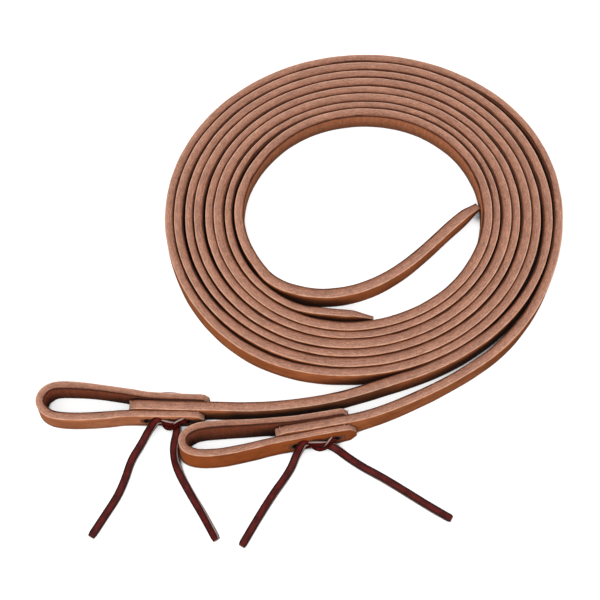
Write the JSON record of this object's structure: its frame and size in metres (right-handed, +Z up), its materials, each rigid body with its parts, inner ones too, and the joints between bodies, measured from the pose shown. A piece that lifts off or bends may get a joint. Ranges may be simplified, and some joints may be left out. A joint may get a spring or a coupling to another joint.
{
  "type": "pair of coiled split leather reins",
  "caption": "Split leather riding reins coiled together on edge, each ending in a bit loop of folded leather laced to the strap with a knotted thong.",
  "frame": {"origin": "bottom centre of the bounding box, on the plane that the coiled reins stand on", "axes": "+Z up, across the width of the straps, which stand on edge; +Y away from the bit loops, towards the back of the coil; +X towards the right, where the straps leave the coil for the bit loops"},
  "size_m": [0.2844, 0.2856, 0.0127],
  "materials": {
    "rein_leather": "satin",
    "loop_leather": "satin",
    "lace_leather": "satin"
  },
  "bodies": {
    "coiled_reins": {"left_rein_strap": "rein_leather", "right_rein_strap": "rein_leather"},
    "left_bit_end_group": {"left_rein_bit_end": "rein_leather", "left_bit_loop": "loop_leather", "left_lace_knot": "lace_leather"},
    "right_bit_end_group": {"right_rein_bit_end": "rein_leather", "right_bit_loop": "loop_leather", "right_lace_knot": "lace_leather"},
    "left_lace_eye_tail_end": {"left_lace_eye_tail": "lace_leather"},
    "left_lace_rein_tail_end": {"left_lace_rein_tail": "lace_leather"},
    "right_lace_eye_tail_end": {"right_lace_eye_tail": "lace_leather"},
    "right_lace_rein_tail_end": {"right_lace_rein_tail": "lace_leather"}
  },
  "joints": [
    {"name": "left_bit_end_swing", "type": "hinge", "parent": "coiled_reins", "child": "left_bit_end_group", "pos_m": [0.044, -0.0583, 0.00635], "axis": [0, 0, 1], "range_deg": [-5, 0]},
    {"name": "right_bit_end_swing", "type": "hinge", "parent": "coiled_reins", "child": "right_bit_end_group", "pos_m": [0.0575, -0.0664, 0.00635], "axis": [0, 0, 1], "range_deg": [0, 4]},
    {"name": "left_lace_eye_tail_swing", "type": "hinge", "parent": "left_bit_end_group", "child": "left_lace_eye_tail_end", "pos_m": [-0.084, -0.0839, 0.0052], "axis": [0, 0, 1], "range_deg": [-15, 20]},
    {"name": "left_lace_rein_tail_swing", "type": "hinge", "parent": "left_bit_end_group", "child": "left_lace_rein_tail_end", "pos_m": [-0.0688, -0.0844, 0.0052], "axis": [0, 0, 1], "range_deg": [-20, 0]},
    {"name": "right_lace_eye_tail_swing", "type": "hinge", "parent": "right_bit_end_group", "child": "right_lace_eye_tail_end", "pos_m": [-0.004, -0.0964, 0.0052], "axis": [0, 0, 1], "range_deg": [-20, 15]},
    {"name": "right_lace_rein_tail_swing", "type": "hinge", "parent": "right_bit_end_group", "child": "right_lace_rein_tail_end", "pos_m": [0.0156, -0.0932, 0.0052], "axis": [0, 0, 1], "range_deg": [-15, 20]}
  ]
}
